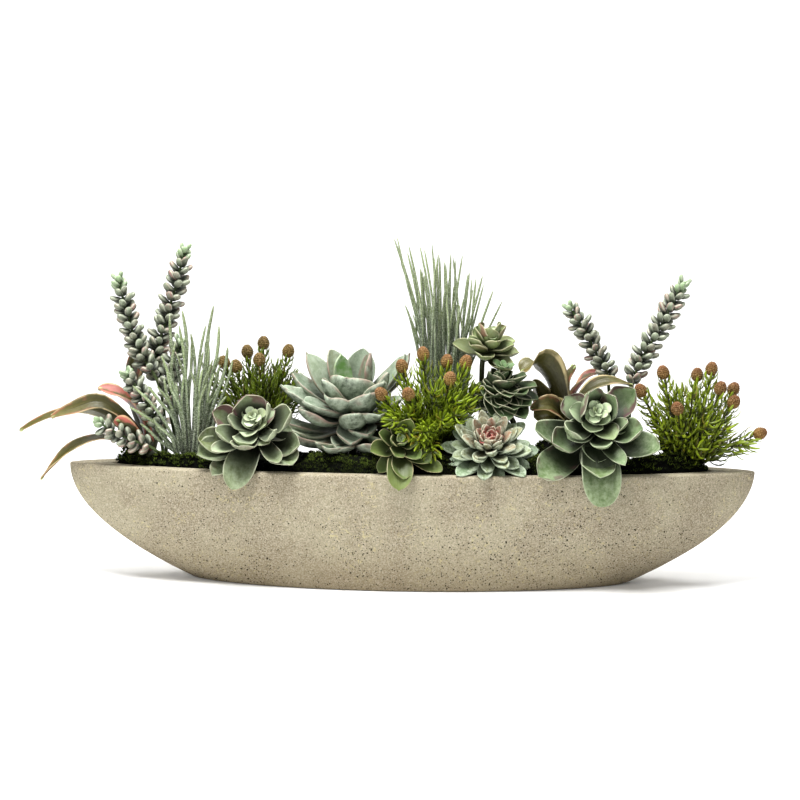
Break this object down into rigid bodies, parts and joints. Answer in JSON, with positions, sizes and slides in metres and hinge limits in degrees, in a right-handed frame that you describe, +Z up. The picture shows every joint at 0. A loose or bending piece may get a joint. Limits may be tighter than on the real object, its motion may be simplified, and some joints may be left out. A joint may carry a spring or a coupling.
{
  "type": "succulent planter arrangement",
  "caption": "Long boat-shaped cast cement planter filled with moss and a mixed group of artificial succulents, grasses and needle-leaved bushes.",
  "frame": {"origin": "middle of the planter's flat base, on the surface it stands on", "axes": "+Z up, +X along the planter's length, -Y towards the side with the leaves that hang over the rim"},
  "size_m": [0.9921, 0.22, 0.458],
  "materials": {
    "planter": "cast fibre cement, matt, mottled, with small pits",
    "soil": "dark filling, matt",
    "moss": "dry clumped moss, matt",
    "frosted_leaf": "soft satin leaf with a powdery bloom and reddish edge",
    "blue_green_leaf": "fleshy blue-grey-green leaf with a pale bloom",
    "dark_leaf": "dark green leaf with mauve edges, satin",
    "mint_leaf": "pale mint leaf, pink-red towards the heart",
    "strap_leaf": "leathery olive leaf with salmon edges, satin",
    "bean_leaf": "grey-green bean leaf with a powdery bloom",
    "flocked_grass": "flocked grass blade with white specks, matt",
    "needle": "soft yellow-green needle leaf",
    "cone": "orange-brown seed head with fine bumps"
  },
  "bodies": {
    "root": {"bush_centre": "needle", "bush_centre_cone_1": "cone", "bush_centre_cone_2": "cone", "bush_centre_cone_3": "cone", "bush_centre_cone_4": "cone", "bush_centre_cone_5": "cone", "bush_centre_cone_6": "cone", "bush_centre_cone_7": "cone", "bush_left": "needle", "bush_left_cone_1": "cone", "bush_left_cone_2": "cone", "bush_left_cone_3": "cone", "bush_left_cone_4": "cone", "bush_left_cone_5": "cone", "bush_left_cone_6": "cone", "bush_left_cone_7": "cone", "bush_right": "needle", "bush_right_cone_1": "cone", "bush_right_cone_2": "cone", "bush_right_cone_3": "cone", "bush_right_cone_4": "cone", "bush_right_cone_5": "cone", "bush_right_cone_6": "cone", "bush_right_cone_7": "cone", "bush_right_cone_8": "cone", "bush_right_cone_9": "cone", "donkey_tail_1": "bean_leaf", "donkey_tail_2": "bean_leaf", "donkey_tail_3": "bean_leaf", "donkey_tail_4": "bean_leaf", "donkey_tail_5": "bean_leaf", "donkey_tail_6": "bean_leaf", "donkey_tail_7": "bean_leaf", "echeveria_hanging": "frosted_leaf", "echeveria_left": "frosted_leaf", "echeveria_pink": "mint_leaf", "echeveria_right": "frosted_leaf", "grass_left": "flocked_grass", "grass_tall": "flocked_grass", "moss": "moss", "planter": "planter", "rosette_dark": "dark_leaf", "rosette_large": "blue_green_leaf", "rosette_upper": "dark_leaf", "soil_fill": "soil", "strap_left": "strap_leaf", "strap_right": "strap_leaf"}
  },
  "joints": []
}
